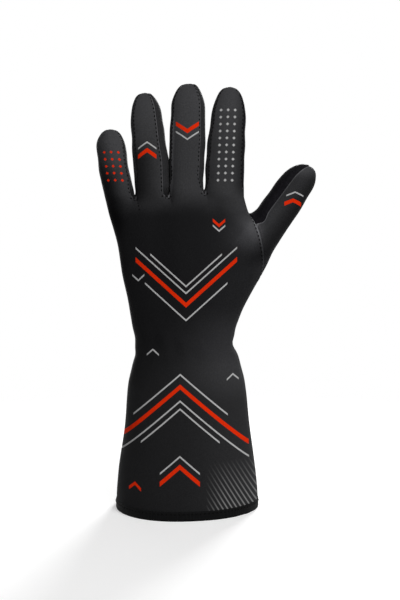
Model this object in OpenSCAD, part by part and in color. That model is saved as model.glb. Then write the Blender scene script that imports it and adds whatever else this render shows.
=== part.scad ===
// Long-cuffed five-finger work glove for the left hand, standing on the hem of its cuff.
// X runs across the hand toward the thumb and Z up toward the fingertips.
// The back of the hand faces -Y and the palm +Y. All lengths are millimetres.

/* [Cuff] */
// Width of the cuff at the hem
hem_w = 104; // [94:1:116]
// Depth of the cuff at the hem
hem_d = 77; // [66:1:86]
// Height of the straight hem that the binding covers
hem_h = 6.5; // [5:0.5:9]
// Height of the middle of the sleeve above the hem
sleeve_z = 76; // [66:1:84]
// Width of the sleeve at that height
sleeve_w = 90; // [84:1:98]
// Depth of the sleeve at that height
sleeve_d = 62; // [56:1:70]

// Height of the shoulder where the sleeve turns in to the wrist
shoulder_z = 102; // [98:1:106]
// Width of the sleeve at the shoulder
shoulder_w = 81; // [76:1:86]
// Depth of the sleeve at the shoulder
shoulder_d = 54; // [49:1:58]

/* [Wrist] */
// Height of the narrowest place of the wrist above the hem
wrist_z = 120; // [112:1:126]
// Width of the glove at the wrist
wrist_w = 71; // [64:1:80]
// Depth of the glove at the wrist
wrist_d = 48; // [42:1:54]
// Shift of the wrist toward the little finger
wrist_shift = 2; // [0:0.5:4]
// Height of the gathered wrist section
band_h = 26; // [20:1:34]
// Thickness of the elastic inside the wrist section
elastic_t = 1.2; // [0.8:0.1:1.6]

/* [Hand] */
// Height of the heel of the hand above the hem
heel_z = 150; // [144:1:156]
// Width of the glove at the heel of the hand
heel_w = 86; // [80:1:92]
// Depth of the glove at the heel of the hand
heel_d = 43; // [38:1:48]
// Height of the finger crotches above the hem
knuckle_z = 231; // [226:1:240]
// Shift of the row of knuckles toward the little finger
knuckle_shift = 9.2; // [6:0.2:12]
// Depth of the palm below the knuckles
palm_d = 36; // [32:1:40]
// Height below the crotches over which the hand parts into fingers
parting_h = 30; // [20:1:40]

/* [Fingers] */
// Length of the little finger above the crotches
little_len = 52; // [44:1:60]
// Length of the ring finger above the crotches
ring_len = 77.5; // [68:0.5:86]
// Length of the middle finger above the crotches
middle_len = 85.5; // [76:0.5:94]
// Length of the index finger above the crotches
index_len = 83; // [74:1:92]
// Width of the little finger at its root
little_w = 22; // [19:0.5:25]
// Width of the ring finger at its root
ring_w = 24.5; // [21:0.5:28]
// Width of the middle finger at its root
middle_w = 26; // [23:0.5:29]
// Width of the index finger at its root
index_w = 28.8; // [25:0.2:31]
// Narrowing of each finger from root to tip
finger_taper = 2.6; // [0:0.2:5]
// Lean of the little finger away from the thumb, degrees
little_lean = 8; // [6:0.5:12]
// Lean of the ring finger away from the thumb, degrees
ring_lean = 3.6; // [2:0.2:5]
// Lean of the middle finger toward the thumb, degrees
middle_lean = 0.8; // [0:0.2:1.6]
// Lean of the index finger toward the thumb, degrees
index_lean = 2.6; // [1.6:0.2:4]
// Gap between neighbouring fingers at the crotch
finger_gap = 0.9; // [0.6:0.1:1.4]
// Depth of a finger at its root
finger_root_d = 23; // [20:0.5:26]
// Depth of a finger before its rounded tip
finger_tip_d = 18; // [15:0.5:20]
// Length of the rounded tip of a finger
tip_round = 16; // [12:1:20]
// Height of the bend of a finger above the crotches, as a share of its length
finger_bend = 0.46; // [0.4:0.01:0.54]
// Angle from the side of a finger to the seam of its back panel
seam_angle = 40; // [30:1:50]

/* [Thumb] */
// Height of the bottom of the thumb opening above the hem
thumb_low_z = 168; // [164:1:174]
// Height of the crotch between thumb and index finger
thumb_crotch_z = 218; // [210:1:222]
// Distance of the bottom of the thumb opening from the middle of the cuff
thumb_low_x = 52; // [50:0.5:54]
// Distance of the thumb crotch from the middle of the cuff
thumb_crotch_x = 47.5; // [45.5:0.5:49]
// Depth of the glove at the thumb opening
thumb_root_d = 30; // [26:0.5:33]
// Lean of the thumb away from the fingers, degrees
thumb_lean = 34; // [30:1:40]
// Rise of the straight part of the thumb above its crotch
thumb_rise = 8; // [5:0.5:12]
// Length of the thumb from there to its tip
thumb_len = 47; // [40:1:54]
// Width of the thumb where it becomes straight
thumb_w = 27.5; // [24:0.5:30]
// Narrowing of the thumb from there to its tip
thumb_taper = 1.5; // [0:0.5:4]
// Depth of the thumb where it becomes straight
thumb_d = 25; // [22:0.5:28]
// Depth of the thumb before its rounded tip
thumb_tip_d = 20; // [17:0.5:23]
// Distance of the bend of the thumb above its straight start
thumb_bend = 8; // [5:0.5:14]
// Angle round the thumb to the seam beside the crotch
thumb_seam = 140; // [120:2:150]

/* [Cloth] */
// Thickness of the outer cloth
wall = 1.6; // [1.2:0.1:2]
// Thickness of the lining
lining_t = 0.8; // [0.6:0.1:1.2]
// Thickness of the binding tape
tape_t = 0.8; // [0.6:0.1:1.2]
// Clearance between the cloth and its lining
lining_gap = 0.3; // [0.2:0.05:0.4]
// Clearance between the cloth and the binding tape
tape_gap = 0.15; // [0.1:0.05:0.3]
// Gap where the cloth is parted at a bend
bend_gap = 0.4; // [0.3:0.05:0.6]

/* [Hidden] */

cloth_colour = [0.22, 0.22, 0.23];
dark_cloth_colour = [0.12, 0.12, 0.13];
leather_colour = [0.06, 0.06, 0.07];
tape_colour = [0.03, 0.03, 0.03];
lining_colour = [0.35, 0.35, 0.36];

// Roundness of the sections: 2 is an ellipse, more is squarer
cuff_round = 2.2;
hand_round = 2.4;
finger_round = 2.3;
loop_round = 2;
// Share of the width and depth that is left at the very tip of a finger
tip_flat = 0.25;
tip_ridge = 0.03;

// Counts of cells along and across the panels
sleeve_cells = 16;
sleeve_rows = 5;
band_rows = 3;
heel_rows = 2;
opening_rows = 6;
crotch_rows = 2;
back_cells = 5;
side_cells = 3;
lower_rows = 3;
upper_rows = 3;
tip_rows = 4;

// Layers through the cloth, as distances in from the outer face
lining_in = wall + lining_gap;
stack_in = lining_in + lining_t;
elastic_in = lining_in + elastic_t;

cuff_top = wrist_z - band_h / 2;
hand_bottom = wrist_z + band_h / 2;

function lerp(a, b, f) = a + (b - a) * f;
function steps(a, b, n) = [for (k = [0:n]) lerp(a, b, k / n)];
function bent(v, round) = sign(v) * pow(abs(v), 2 / round);
function ease(f) = let (c = min(max(f, 0), 1)) c * c * (3 - 2 * c);

// Smooth curve through stations, each [height, value]
function slope_at(p, i) =
    let (a = p[max(i - 1, 0)], b = p[min(i + 1, len(p) - 1)])
    (b[1] - a[1]) / (b[0] - a[0]);
function span_of(p, z) = [for (i = [0:len(p) - 2]) if (z <= p[i + 1][0] || i == len(p) - 2) i][0];
function curve(p, z) =
    let (
        i = span_of(p, z),
        run = p[i + 1][0] - p[i][0],
        f = min(max((z - p[i][0]) / run, 0), 1),
        g = 1 - f
    )
    p[i][1] * g * g * (1 + 2 * f) + p[i + 1][1] * f * f * (1 + 2 * g)
    + slope_at(p, i) * run * f * g * g - slope_at(p, i + 1) * run * g * f * f;

// Root centres of the fingers, laid side by side from the little finger
root_widths = [little_w, ring_w, middle_w, index_w];
function width_before(k) = k == 0 ? 0 : width_before(k - 1) + root_widths[k - 1] + finger_gap;
knuckle_w = width_before(3) + index_w;
knuckle_left = -knuckle_w / 2 - knuckle_shift;
knuckle_right = knuckle_left + knuckle_w;
function root_x(k) = knuckle_left + width_before(k) + root_widths[k] / 2;

// Each finger: root centre, length, root width, lean toward the thumb, right and left seam angles
outer_seam = 0;
little = [root_x(0), little_len, little_w, -little_lean, seam_angle, 180 - outer_seam];
ring = [root_x(1), ring_len, ring_w, -ring_lean, seam_angle, 180 - seam_angle];
middle = [root_x(2), middle_len, middle_w, middle_lean, seam_angle, 180 - seam_angle];
index = [root_x(3), index_len, index_w, index_lean, outer_seam, 180 - seam_angle];
function root_of(f) = f[0];
function length_of(f) = f[1];
function width_of(f) = f[2];
function lean_of(f) = f[3];
function right_seam(f) = f[4];
function left_seam(f) = f[5];

// Angles round a finger: 0 on its thumb side, 90 at the back, 180 on the other side, 270 at the palm
function back_angles(f) = steps(right_seam(f), left_seam(f), back_cells);
function palm_angles(f) = steps(360 - left_seam(f), 360 - right_seam(f), back_cells);
function left_angles(f) = steps(left_seam(f), 360 - left_seam(f), side_cells);
function right_angles(f) = steps(-right_seam(f), right_seam(f), side_cells);
function round_angles(f) = concat(
    back_angles(f),
    [for (k = [1:side_cells - 1]) if (left_seam(f) < 180) left_angles(f)[k]],
    [for (k = [left_seam(f) < 180 ? 0 : 1:back_cells]) if (palm_angles(f)[k] < 360) palm_angles(f)[k]],
    [for (k = [1:side_cells - 1]) if (right_seam(f) > 0) 360 + right_angles(f)[k]]
);

// A rounded tip: shares of width and depth at q from its start to its end
function tip_width(q) = tip_flat + (1 - tip_flat) * sqrt(1 - q * q);
function tip_depth(q) = tip_ridge + (1 - tip_ridge) * sqrt(1 - q * q);
function tip_share(rise, length) = max((rise - length + tip_round) / tip_round, 0);
function tip_steps(length) =
    [for (k = [1:tip_rows]) length - tip_round * (1 - sin(90 * k / tip_rows))];

function finger_point(f, rise, t, inset) =
    let (
        q = tip_share(rise, length_of(f)),
        share = rise / length_of(f),
        a = (width_of(f) - finger_taper * share) / 2 - inset,
        b = lerp(finger_root_d, finger_tip_d, share) / 2 - inset
    )
    [
        root_of(f) + rise * tan(lean_of(f)) + a * tip_width(q) * bent(cos(t), finger_round),
        -b * tip_depth(q) * bent(sin(t), finger_round),
        knuckle_z + rise - q * inset
    ];
function finger_grid(f, rises, angles, inset) =
    [for (rise = rises) [for (t = angles) finger_point(f, rise, t, inset)]];
function bend_of(f) = length_of(f) * finger_bend;
function lower_rises(f) = steps(bend_gap, bend_of(f), lower_rows);
function upper_rises(f) = concat(
    steps(bend_of(f) + bend_gap, length_of(f) - tip_round, upper_rows),
    tip_steps(length_of(f))
);

// The thumb opening is an ellipse in a plane that holds both ends of the thumb's root seam
opening_mid = [(thumb_low_x + thumb_crotch_x) / 2, 0, (thumb_low_z + thumb_crotch_z) / 2];
opening_half = [thumb_crotch_x - thumb_low_x, 0, thumb_crotch_z - thumb_low_z] / 2;
opening_up = opening_half / norm(opening_half);
opening_out = [opening_up[2], 0, -opening_up[0]];
function opening_point(t, inset) =
    opening_mid - opening_up * (norm(opening_half) - inset) * cos(t)
    - [0, thumb_root_d / 2 - inset, 0] * sin(t);
function opening_z(t) = opening_mid[2] - opening_half[2] * cos(t);
function in_opening(z) = z >= thumb_low_z && z <= thumb_crotch_z;
function opening_angle(z) = acos(min(max((opening_mid[2] - z) / opening_half[2], -1), 1));
function opening_depth(z) = in_opening(z) ? thumb_root_d / 2 * sin(opening_angle(z)) : 0;

// Sides and half depth of the glove from the hem to the knuckles
left_stations = [
    [hem_h, -hem_w / 2], [sleeve_z, -sleeve_w / 2], [shoulder_z, -shoulder_w / 2],
    [wrist_z, -wrist_w / 2 - wrist_shift], [heel_z, -heel_w / 2], [knuckle_z, knuckle_left]
];
right_stations = [
    [hem_h, hem_w / 2], [sleeve_z, sleeve_w / 2], [shoulder_z, shoulder_w / 2],
    [wrist_z, wrist_w / 2 - wrist_shift], [heel_z, heel_w / 2], [thumb_low_z, thumb_low_x]
];
crotch_stations = [
    [thumb_low_z, thumb_low_x], [thumb_crotch_z, thumb_crotch_x], [knuckle_z, knuckle_right]
];
depth_stations = [
    [hem_h, hem_d / 2], [sleeve_z, sleeve_d / 2], [shoulder_z, shoulder_d / 2],
    [wrist_z, wrist_d / 2], [heel_z, heel_d / 2],
    [knuckle_z - parting_h, palm_d / 2], [knuckle_z, finger_root_d / 2]
];
function left_x(z) = curve(left_stations, z);
function right_x(z) =
    z < thumb_low_z ? curve(right_stations, z) : lookup(z, crotch_stations);
function middle_x(z) = (left_x(z) + right_x(z)) / 2;
function half_width(z) = (right_x(z) - left_x(z)) / 2;
function half_depth(z) = curve(depth_stations, z);

// Closed section of the cuff and wrist
function sleeve_point(z, t, inset) = [
    middle_x(z) + (half_width(z) - inset) * bent(cos(t), cuff_round),
    -(half_depth(z) - inset) * bent(sin(t), cuff_round),
    z
];
function sleeve_grid(heights, angles, inset) =
    [for (z = heights) [for (t = angles) sleeve_point(z, t, inset)]];
sleeve_back = steps(0, 180, sleeve_cells);
sleeve_palm = steps(180, 360, sleeve_cells);
function open_end(angles) = [for (k = [0:len(angles) - 2]) angles[k]];
sleeve_around = concat(open_end(sleeve_back), open_end(sleeve_palm));
cuff_heights = concat([tape_t], steps(hem_h, cuff_top, sleeve_rows));
band_heights = steps(cuff_top + bend_gap, hand_bottom - bend_gap, band_rows);

// The hand: columns run up to the finger roots and rows pass both ends of the thumb opening
function hand_heights(top) = concat(
    steps(hand_bottom, thumb_low_z, heel_rows),
    [for (k = [1:opening_rows - 1]) opening_z(180 * k / opening_rows)],
    steps(thumb_crotch_z, top, crotch_rows)
);
lining_top = knuckle_z - wall - lining_gap;
hand_back_columns = [for (f = [index, middle, ring, little]) for (t = back_angles(f)) [f, t]];
hand_palm_columns = [for (f = [little, ring, middle, index]) for (t = palm_angles(f)) [f, t]];
function across(f, t) =
    (finger_point(f, 0, t, 0)[0] - (knuckle_left + knuckle_right) / 2) / (knuckle_w / 2);
function hand_point(f, t, z, inset) =
    let (
        root = finger_point(f, 0, t, inset),
        s = across(f, t),
        b = half_depth(z) - inset,
        open = s > 0 ? pow(max(opening_depth(z) - inset, 0) / b, hand_round) : 0,
        y = -sign(sin(t)) * b * pow(max(1 - (1 - open) * pow(abs(s), hand_round), 0), 1 / hand_round),
        x = middle_x(z) + (half_width(z) - inset) * s,
        parting = ease((z - knuckle_z + parting_h) / parting_h)
    )
    abs(s - 1) < tiny && in_opening(z)
        ? opening_point(t == 0 ? opening_angle(z) : -opening_angle(z), inset)
        : [lerp(x, root[0], parting), lerp(y, root[1], parting), z];
tiny = 0.0001;
function hand_grid(columns, top, inset) =
    [for (z = hand_heights(top)) [for (c = columns) hand_point(c[0], c[1], z, inset)]];

// The thumb: a fan from the opening to its straight start, then a straight part with a rounded tip
thumb_up = [sin(thumb_lean), 0, cos(thumb_lean)];
thumb_out = [cos(thumb_lean), 0, -sin(thumb_lean)];
thumb_start = [thumb_crotch_x, 0, thumb_crotch_z] + thumb_up * thumb_rise + thumb_out * thumb_w / 2;
function thumb_fan_point(v, t, inset) =
    let (
        root = opening_mid + opening_out * bend_gap,
        low = lerp(root - opening_half, thumb_start + thumb_out * thumb_w / 2, v),
        high = lerp(root + opening_half, thumb_start - thumb_out * thumb_w / 2, v),
        out = (low - high) / norm(low - high),
        a = norm(low - high) / 2 - inset,
        b = lerp(thumb_root_d, thumb_d, v) / 2 - inset,
        round = lerp(loop_round, finger_round, v)
    )
    (low + high) / 2 + out * a * bent(cos(t), round) - [0, b * bent(sin(t), round), 0];
function thumb_point(rise, t, inset) =
    let (
        q = tip_share(rise, thumb_len),
        share = rise / thumb_len,
        a = (thumb_w - thumb_taper * share) / 2 - inset,
        b = lerp(thumb_d, thumb_tip_d, share) / 2 - inset
    )
    thumb_start + thumb_up * (rise - q * inset)
    + thumb_out * a * tip_width(q) * bent(cos(t), finger_round)
    - [0, b * tip_depth(q) * bent(sin(t), finger_round), 0];
fan_rows = 3;
function thumb_lower_grid(angles, inset) = concat(
    [for (v = steps(0, 1, fan_rows)) [for (t = angles) thumb_fan_point(v, t, inset)]],
    [[for (t = angles) thumb_point(thumb_bend, t, inset)]]
);
function thumb_upper_grid(angles, inset) = [
    for (rise = concat(
        steps(thumb_bend + bend_gap, thumb_len - tip_round, upper_rows), tip_steps(thumb_len)
    ))
    [for (t = angles) thumb_point(rise, t, inset)]
];
thumb_cells = 7;
thumb_back_angles = steps(0, thumb_seam, thumb_cells);
thumb_palm_angles = steps(thumb_seam, 360, thumb_cells + 2);
thumb_around = concat(open_end(thumb_back_angles), open_end(thumb_palm_angles));

// Solid sheet between an outer and an inner grid of points with equal rows and columns
function flat(grid) = [for (row = grid) for (p = row) p];
function split(quads) = [for (q = quads) for (k = [1, 2]) [q[0], q[k], q[k + 1]]];
module sheet(outer, inner, closed = false) {
    rows = len(outer);
    cols = len(outer[0]);
    below = rows * cols;
    last = closed ? cols - 1 : cols - 2;
    function at(i, j) = i * cols + j % cols;
    function under(i, j) = below + at(i, j);
    faces = concat(
        [for (i = [0:rows - 2]) for (j = [0:last]) [at(i, j), at(i, j + 1), at(i + 1, j + 1), at(i + 1, j)]],
        [for (i = [0:rows - 2]) for (j = [0:last])
            [under(i, j), under(i + 1, j), under(i + 1, j + 1), under(i, j + 1)]],
        [for (j = [0:last]) [at(0, j + 1), at(0, j), under(0, j), under(0, j + 1)]],
        [for (j = [0:last])
            [at(rows - 1, j), at(rows - 1, j + 1), under(rows - 1, j + 1), under(rows - 1, j)]],
        closed ? [] : [for (i = [0:rows - 2]) [at(i, 0), at(i + 1, 0), under(i + 1, 0), under(i, 0)]],
        closed ? [] : [for (i = [0:rows - 2])
            [at(i, cols - 1), under(i, cols - 1), under(i + 1, cols - 1), at(i + 1, cols - 1)]]
    );
    polyhedron(points = concat(flat(outer), flat(inner)), faces = split(faces));
}

// One panel of a finger between two rows of heights and two seams
module finger_panel(f, rises, angles) {
    sheet(finger_grid(f, rises, angles, 0), finger_grid(f, rises, angles, wall));
}
module finger_lining(f, rises) {
    sheet(
        finger_grid(f, rises, round_angles(f), lining_in),
        finger_grid(f, rises, round_angles(f), stack_in),
        closed = true
    );
}
module back_panel(f, rises) {
    color(cloth_colour) finger_panel(f, rises, back_angles(f));
}
module palm_panel(f, rises) {
    color(leather_colour) finger_panel(f, rises, palm_angles(f));
}
module fourchettes(f, rises) {
    color(cloth_colour) {
        if (left_seam(f) < 180) finger_panel(f, rises, left_angles(f));
        if (right_seam(f) > 0) finger_panel(f, rises, right_angles(f));
    }
}
module soft_lining(f, rises) {
    color(lining_colour) finger_lining(f, rises);
}

// The web that joins two fingers at the crotch, under the fourchettes that stand on it
module web(left, right) {
    rim = concat(
        [for (t = right_angles(left)) finger_point(left, 0, t, wall)],
        [for (t = left_angles(right)) finger_point(right, 0, t, wall)]
    );
    color(cloth_colour)
        translate([0, 0, knuckle_z - wall])
            linear_extrude(wall)
                polygon([for (p = rim) [p[0], p[1]]]);
}

module cuff_back() {
    color(dark_cloth_colour)
        sheet(sleeve_grid(cuff_heights, sleeve_back, 0), sleeve_grid(cuff_heights, sleeve_back, wall));
}
module cuff_palm() {
    color(dark_cloth_colour)
        sheet(sleeve_grid(cuff_heights, sleeve_palm, 0), sleeve_grid(cuff_heights, sleeve_palm, wall));
}
module cuff_lining() {
    color(lining_colour)
        sheet(
            sleeve_grid(cuff_heights, sleeve_around, lining_in),
            sleeve_grid(cuff_heights, sleeve_around, stack_in),
            closed = true
        );
}

// Binding tape folded over the hem: a channel whose slot takes the cloth and its lining
module hem_outline(inset) {
    polygon([for (t = sleeve_around) [sleeve_point(0, t, inset)[0], sleeve_point(0, t, inset)[1]]]);
}
module hem_binding() {
    fold = tape_gap + tape_t;
    color(tape_colour)
        difference() {
            linear_extrude(hem_h) hem_outline(-fold);
            translate([0, 0, -fold]) linear_extrude(hem_h + 2 * fold) hem_outline(stack_in + fold);
            translate([0, 0, tape_t])
                linear_extrude(hem_h)
                    difference() {
                        hem_outline(-tape_gap);
                        hem_outline(stack_in + tape_gap);
                    }
        }
}

module wrist_back() {
    color(dark_cloth_colour)
        sheet(sleeve_grid(band_heights, sleeve_back, 0), sleeve_grid(band_heights, sleeve_back, wall));
}
module wrist_palm() {
    color(dark_cloth_colour)
        sheet(sleeve_grid(band_heights, sleeve_palm, 0), sleeve_grid(band_heights, sleeve_palm, wall));
}
module wrist_elastic() {
    color(lining_colour)
        sheet(
            sleeve_grid(band_heights, sleeve_around, lining_in),
            sleeve_grid(band_heights, sleeve_around, elastic_in),
            closed = true
        );
}

module hand_back() {
    color(dark_cloth_colour)
        sheet(
            hand_grid(hand_back_columns, knuckle_z, 0),
            hand_grid(hand_back_columns, knuckle_z, wall)
        );
}
module hand_palm() {
    color(leather_colour)
        sheet(
            hand_grid(hand_palm_columns, knuckle_z, 0),
            hand_grid(hand_palm_columns, knuckle_z, wall)
        );
}
module hand_lining() {
    color(lining_colour)
        for (columns = [hand_back_columns, hand_palm_columns])
            sheet(hand_grid(columns, lining_top, lining_in), hand_grid(columns, lining_top, stack_in));
}
module web_ring_little() { web(little, ring); }
module web_middle_ring() { web(ring, middle); }
module web_index_middle() { web(middle, index); }

module little_lower_back() { back_panel(little, lower_rises(little)); }
module little_lower_palm() { palm_panel(little, lower_rises(little)); }
module little_lower_fourchette() { fourchettes(little, lower_rises(little)); }
module little_lower_lining() { soft_lining(little, lower_rises(little)); }
module little_upper_back() { back_panel(little, upper_rises(little)); }
module little_upper_palm() { palm_panel(little, upper_rises(little)); }
module little_upper_fourchette() { fourchettes(little, upper_rises(little)); }
module little_upper_lining() { soft_lining(little, upper_rises(little)); }

module ring_lower_back() { back_panel(ring, lower_rises(ring)); }
module ring_lower_palm() { palm_panel(ring, lower_rises(ring)); }
module ring_lower_fourchettes() { fourchettes(ring, lower_rises(ring)); }
module ring_lower_lining() { soft_lining(ring, lower_rises(ring)); }
module ring_upper_back() { back_panel(ring, upper_rises(ring)); }
module ring_upper_palm() { palm_panel(ring, upper_rises(ring)); }
module ring_upper_fourchettes() { fourchettes(ring, upper_rises(ring)); }
module ring_upper_lining() { soft_lining(ring, upper_rises(ring)); }

module middle_lower_back() { back_panel(middle, lower_rises(middle)); }
module middle_lower_palm() { palm_panel(middle, lower_rises(middle)); }
module middle_lower_fourchettes() { fourchettes(middle, lower_rises(middle)); }
module middle_lower_lining() { soft_lining(middle, lower_rises(middle)); }
module middle_upper_back() { back_panel(middle, upper_rises(middle)); }
module middle_upper_palm() { palm_panel(middle, upper_rises(middle)); }
module middle_upper_fourchettes() { fourchettes(middle, upper_rises(middle)); }
module middle_upper_lining() { soft_lining(middle, upper_rises(middle)); }

module index_lower_back() { back_panel(index, lower_rises(index)); }
module index_lower_palm() { palm_panel(index, lower_rises(index)); }
module index_lower_fourchette() { fourchettes(index, lower_rises(index)); }
module index_lower_lining() { soft_lining(index, lower_rises(index)); }
module index_upper_back() { back_panel(index, upper_rises(index)); }
module index_upper_palm() { palm_panel(index, upper_rises(index)); }
module index_upper_fourchette() { fourchettes(index, upper_rises(index)); }
module index_upper_lining() { soft_lining(index, upper_rises(index)); }

module thumb_lower_back() {
    color(cloth_colour)
        sheet(thumb_lower_grid(thumb_back_angles, 0), thumb_lower_grid(thumb_back_angles, wall));
}
module thumb_lower_palm() {
    color(leather_colour)
        sheet(thumb_lower_grid(thumb_palm_angles, 0), thumb_lower_grid(thumb_palm_angles, wall));
}
module thumb_lower_lining() {
    color(lining_colour)
        sheet(
            thumb_lower_grid(thumb_around, lining_in),
            thumb_lower_grid(thumb_around, stack_in),
            closed = true
        );
}
module thumb_upper_back() {
    color(cloth_colour)
        sheet(thumb_upper_grid(thumb_back_angles, 0), thumb_upper_grid(thumb_back_angles, wall));
}
module thumb_upper_palm() {
    color(leather_colour)
        sheet(thumb_upper_grid(thumb_palm_angles, 0), thumb_upper_grid(thumb_palm_angles, wall));
}
module thumb_upper_lining() {
    color(lining_colour)
        sheet(
            thumb_upper_grid(thumb_around, lining_in),
            thumb_upper_grid(thumb_around, stack_in),
            closed = true
        );
}

cuff_back();
cuff_palm();
cuff_lining();
hem_binding();
wrist_back();
wrist_palm();
wrist_elastic();
hand_back();
hand_palm();
hand_lining();
web_ring_little();
web_middle_ring();
web_index_middle();
little_lower_back();
little_lower_palm();
little_lower_fourchette();
little_lower_lining();
little_upper_back();
little_upper_palm();
little_upper_fourchette();
little_upper_lining();
ring_lower_back();
ring_lower_palm();
ring_lower_fourchettes();
ring_lower_lining();
ring_upper_back();
ring_upper_palm();
ring_upper_fourchettes();
ring_upper_lining();
middle_lower_back();
middle_lower_palm();
middle_lower_fourchettes();
middle_lower_lining();
middle_upper_back();
middle_upper_palm();
middle_upper_fourchettes();
middle_upper_lining();
index_lower_back();
index_lower_palm();
index_lower_fourchette();
index_lower_lining();
index_upper_back();
index_upper_palm();
index_upper_fourchette();
index_upper_lining();
thumb_lower_back();
thumb_lower_palm();
thumb_lower_lining();
thumb_upper_back();
thumb_upper_palm();
thumb_upper_lining();
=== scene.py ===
import math
from functools import partial

import bpy
import numpy as np
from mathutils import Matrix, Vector
from mathutils.kdtree import KDTree


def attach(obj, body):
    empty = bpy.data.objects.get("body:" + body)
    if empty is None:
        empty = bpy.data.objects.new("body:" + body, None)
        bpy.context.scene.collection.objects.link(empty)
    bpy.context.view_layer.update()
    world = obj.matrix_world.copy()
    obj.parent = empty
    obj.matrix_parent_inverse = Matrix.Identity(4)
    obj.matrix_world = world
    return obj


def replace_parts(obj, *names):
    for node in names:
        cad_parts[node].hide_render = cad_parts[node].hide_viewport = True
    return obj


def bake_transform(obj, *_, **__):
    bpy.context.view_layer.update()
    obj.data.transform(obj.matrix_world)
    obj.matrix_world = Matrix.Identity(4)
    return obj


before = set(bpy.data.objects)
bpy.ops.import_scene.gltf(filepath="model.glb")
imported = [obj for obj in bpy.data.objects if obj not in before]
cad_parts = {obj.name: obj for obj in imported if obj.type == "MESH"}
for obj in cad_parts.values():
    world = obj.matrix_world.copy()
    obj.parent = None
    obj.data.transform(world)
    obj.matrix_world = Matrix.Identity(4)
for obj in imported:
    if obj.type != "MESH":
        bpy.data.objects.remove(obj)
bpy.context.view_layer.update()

mm = 0.001  # sizes in the dictionaries are millimetres
print("glove: frame loaded,", len(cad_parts), "nodes")


# camera and light, at the height of the middle of the glove
viewSet = {
    "eye": (10.1, -540, 153.75),
    "frameHeight": 450,  # seen at the middle plane of the glove
    "sensor": 36,
    "clip": (0.01, 50),  # metres
    "floorRadius": 700,
    "floorSides": 64,
    "floorFade": (260, 640),  # the pale floor runs out into the white backdrop
    "floorColour": (0.72, 0.72, 0.72),
    "floorGlow": 0.45,  # brings the pale floor up to white for the camera
    "skyLight": 0.045,
}
lampSet = {  # place, aim, size across, watts
    "keyLamp": ((640, -780, 860), (0, 0, 190), 600, 8),
    "frontLamp": ((260, -1300, 520), (0, 0, 180), 900, 7.5),
    "leftLamp": ((-1000, -150, 380), (0, 0, 150), 600, 0.4),
    "backLamp": ((330, 1150, 900), (0, 0, 170), 450, 22),
    "palmLamp": ((-420, 1250, 320), (0, 0, 160), 800, 4),
}


class Wire:
    # a socket that takes part in sums
    def __init__(self, finish, socket):
        self.finish = finish
        self.socket = socket

    def maths(self, operation, a, b=0.0):
        return self.finish.node("ShaderNodeMath", {"operation": operation}, {0: a, 1: b})[0]

    def __add__(self, other):
        return self.maths("ADD", self, other)

    __radd__ = __add__

    def __sub__(self, other):
        return self.maths("SUBTRACT", self, other)

    def __rsub__(self, other):
        return self.maths("SUBTRACT", other, self)

    def __mul__(self, other):
        return self.maths("MULTIPLY", self, other)

    __rmul__ = __mul__

    def __truediv__(self, other):
        return self.maths("DIVIDE", self, other)

    def __rtruediv__(self, other):
        return self.maths("DIVIDE", other, self)

    def __abs__(self):
        return self.maths("ABSOLUTE", self)

    def most(self, other):
        return self.maths("MAXIMUM", self, other)

    def sine(self):
        return self.maths("SINE", self)

    def fraction(self):
        return self.maths("FRACT", self)

    def held(self):  # kept within 0 and 1
        return self.maths("MINIMUM", self, 1.0).most(0.0)

    def between(self, low, high):  # eased from 0 at low to 1 at high
        return self.finish.node(
            "ShaderNodeMapRange", {"interpolation_type": "SMOOTHSTEP"},
            {"Value": self, "From Min": low, "From Max": high})["Result"]

    def band(self, middle, half, soft=0.25):  # 1 within half of middle
        return ((half - abs(self - middle)) / soft + 0.5).held()


class Finish:
    # the nodes of a material or of the world, and the one way they are made
    def __init__(self, name, owner=None):
        self.material = owner or bpy.data.materials.new(name)
        self.material.use_nodes = True
        self.tree = self.material.node_tree
        self.tree.nodes.clear()

    def node(self, kind, settings=None, inputs=None):
        made = self.tree.nodes.new(kind)
        for key, value in (settings or {}).items():
            setattr(made, key, value)
        for key, value in (inputs or {}).items():
            if isinstance(value, Wire):
                self.tree.links.new(value.socket, made.inputs[key])
            else:
                made.inputs[key].default_value = value
        outputs = [(i, socket) for i, socket in enumerate(made.outputs) if socket.enabled]
        return {key: Wire(self, socket) for i, socket in outputs for key in (i, socket.name)}

    def axes(self, name):  # a stored vector of the mesh, in millimetres
        stored = self.node("ShaderNodeAttribute", {"attribute_name": name})["Vector"]
        parts = self.node("ShaderNodeSeparateXYZ", None, {0: stored})
        return stored, parts["X"], parts["Y"], parts["Z"]

    def grain(self, vector, scale, detail=2.0, rough=0.5):
        return self.node("ShaderNodeTexNoise", None, {
            "Vector": vector, "Scale": scale, "Detail": detail, "Roughness": rough})["Fac"]

    def mix(self, share, a, b):
        return self.node("ShaderNodeMix", {"data_type": "RGBA"}, {0: share, 6: a, 7: b})[2]

    def scaled(self, colour, share):
        return self.node("ShaderNodeVectorMath", {"operation": "SCALE"}, {0: colour, "Scale": share})[0]

    def surface(self, base, rough, gloss, sheen, normal, sheenRough=0.5):
        shader = self.node("ShaderNodeBsdfPrincipled", None, {
            "Base Color": base, "Roughness": rough, "Specular IOR Level": gloss, "Sheen Weight": sheen,
            "Sheen Roughness": sheenRough, "Normal": normal})["BSDF"]
        self.node("ShaderNodeOutputMaterial", None, {"Surface": shader})
        return self.material

    def bump(self, height, strength, depth):
        return self.node("ShaderNodeBump", None, {
            "Height": height, "Strength": strength, "Distance": depth * mm})["Normal"]


def opaque(colour):
    return (*colour, 1.0)


def placed(name, data):
    made = bpy.data.objects.new(name, data)
    bpy.context.scene.collection.objects.link(made)
    return made


def seenDirectly(finish):  # 1 for rays that show the backdrop, also in a mirror or through glass
    rays = finish.node("ShaderNodeLightPath")
    return rays["Is Camera Ray"].most(rays["Is Glossy Ray"]).most(rays["Is Transmission Ray"])


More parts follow.
